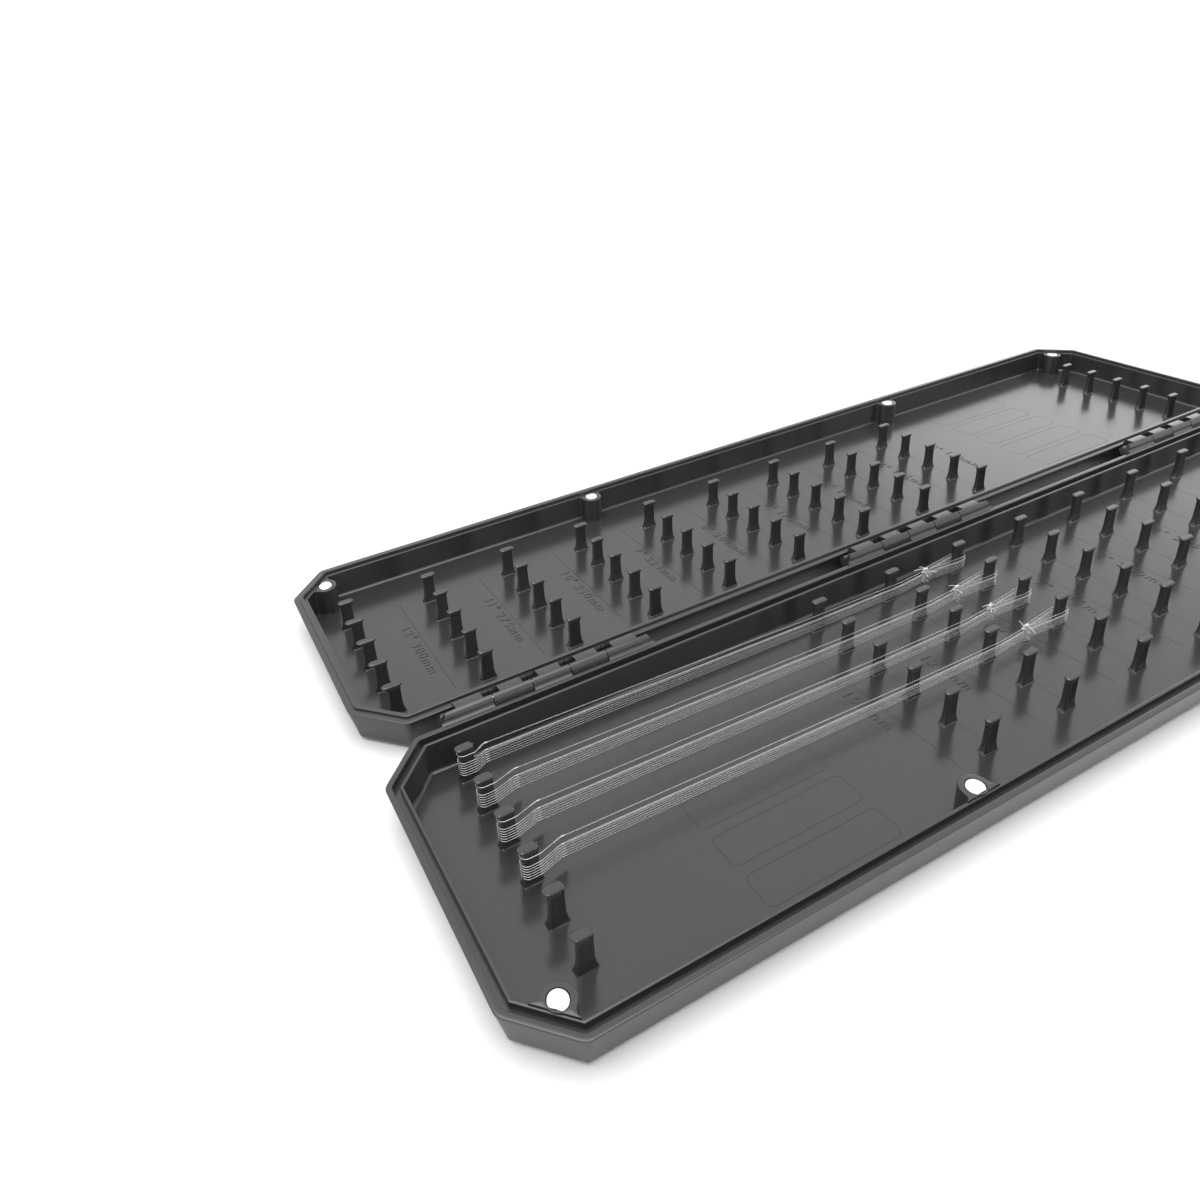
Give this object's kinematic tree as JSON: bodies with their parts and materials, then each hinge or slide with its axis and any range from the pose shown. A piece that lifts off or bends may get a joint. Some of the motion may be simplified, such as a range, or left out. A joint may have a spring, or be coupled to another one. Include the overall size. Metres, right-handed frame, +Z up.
{
  "type": "fishing rig box",
  "caption": "Long shallow clamshell rig box: two hinged trays with chamfered corners, peg rows for hooklengths, magnet catches and stretched rigs.",
  "frame": {"origin": "middle of the footprint of the open case, on the surface it lies on", "axes": "+X along the case and its hinge axis, +Y from the base tray across the hinge to the lid, +Z up"},
  "size_m": [0.3286, 0.154, 0.0113],
  "materials": {
    "tray_plastic": "semi-gloss moulded dark grey plastic",
    "pin_steel": "drawn steel wire",
    "magnet_nickel": "nickel plated",
    "hook_steel": "dark polished steel wire",
    "clear_nylon": "clear monofilament"
  },
  "bodies": {
    "base": {"base_tray": "tray_plastic", "hinge_pin_left": "pin_steel", "hinge_pin_middle": "pin_steel", "hinge_pin_right": "pin_steel", "base_magnet_1": "magnet_nickel", "base_magnet_2": "magnet_nickel", "base_magnet_3": "magnet_nickel", "base_magnet_4": "magnet_nickel", "hook_1_1": "hook_steel", "hook_1_2": "hook_steel", "hook_1_3": "hook_steel", "hook_1_4": "hook_steel", "hook_1_5": "hook_steel", "hook_2_1": "hook_steel", "hook_2_2": "hook_steel", "hook_2_3": "hook_steel", "hook_2_4": "hook_steel", "hook_2_5": "hook_steel", "hook_3_1": "hook_steel", "hook_3_2": "hook_steel", "hook_3_3": "hook_steel", "hook_3_4": "hook_steel", "hook_3_5": "hook_steel", "hook_4_1": "hook_steel", "hook_4_2": "hook_steel", "hook_4_3": "hook_steel", "hook_4_4": "hook_steel", "hook_4_5": "hook_steel", "hooklength_1_1": "clear_nylon", "hooklength_1_2": "clear_nylon", "hooklength_1_3": "clear_nylon", "hooklength_1_4": "clear_nylon", "hooklength_1_5": "clear_nylon", "hooklength_2_1": "clear_nylon", "hooklength_2_2": "clear_nylon", "hooklength_2_3": "clear_nylon", "hooklength_2_4": "clear_nylon", "hooklength_2_5": "clear_nylon", "hooklength_3_1": "clear_nylon", "hooklength_3_2": "clear_nylon", "hooklength_3_3": "clear_nylon", "hooklength_3_4": "clear_nylon", "hooklength_3_5": "clear_nylon", "hooklength_4_1": "clear_nylon", "hooklength_4_2": "clear_nylon", "hooklength_4_3": "clear_nylon", "hooklength_4_4": "clear_nylon", "hooklength_4_5": "clear_nylon"},
    "lid": {"lid_tray": "tray_plastic", "lid_magnet_1": "magnet_nickel", "lid_magnet_2": "magnet_nickel", "lid_magnet_3": "magnet_nickel", "lid_magnet_4": "magnet_nickel"}
  },
  "joints": [
    {"name": "lid_hinge", "type": "hinge", "parent": "base", "child": "lid", "pos_m": [0, 0, 0.0099], "axis": [1, 0, 0], "range_deg": [0, 180]}
  ]
}
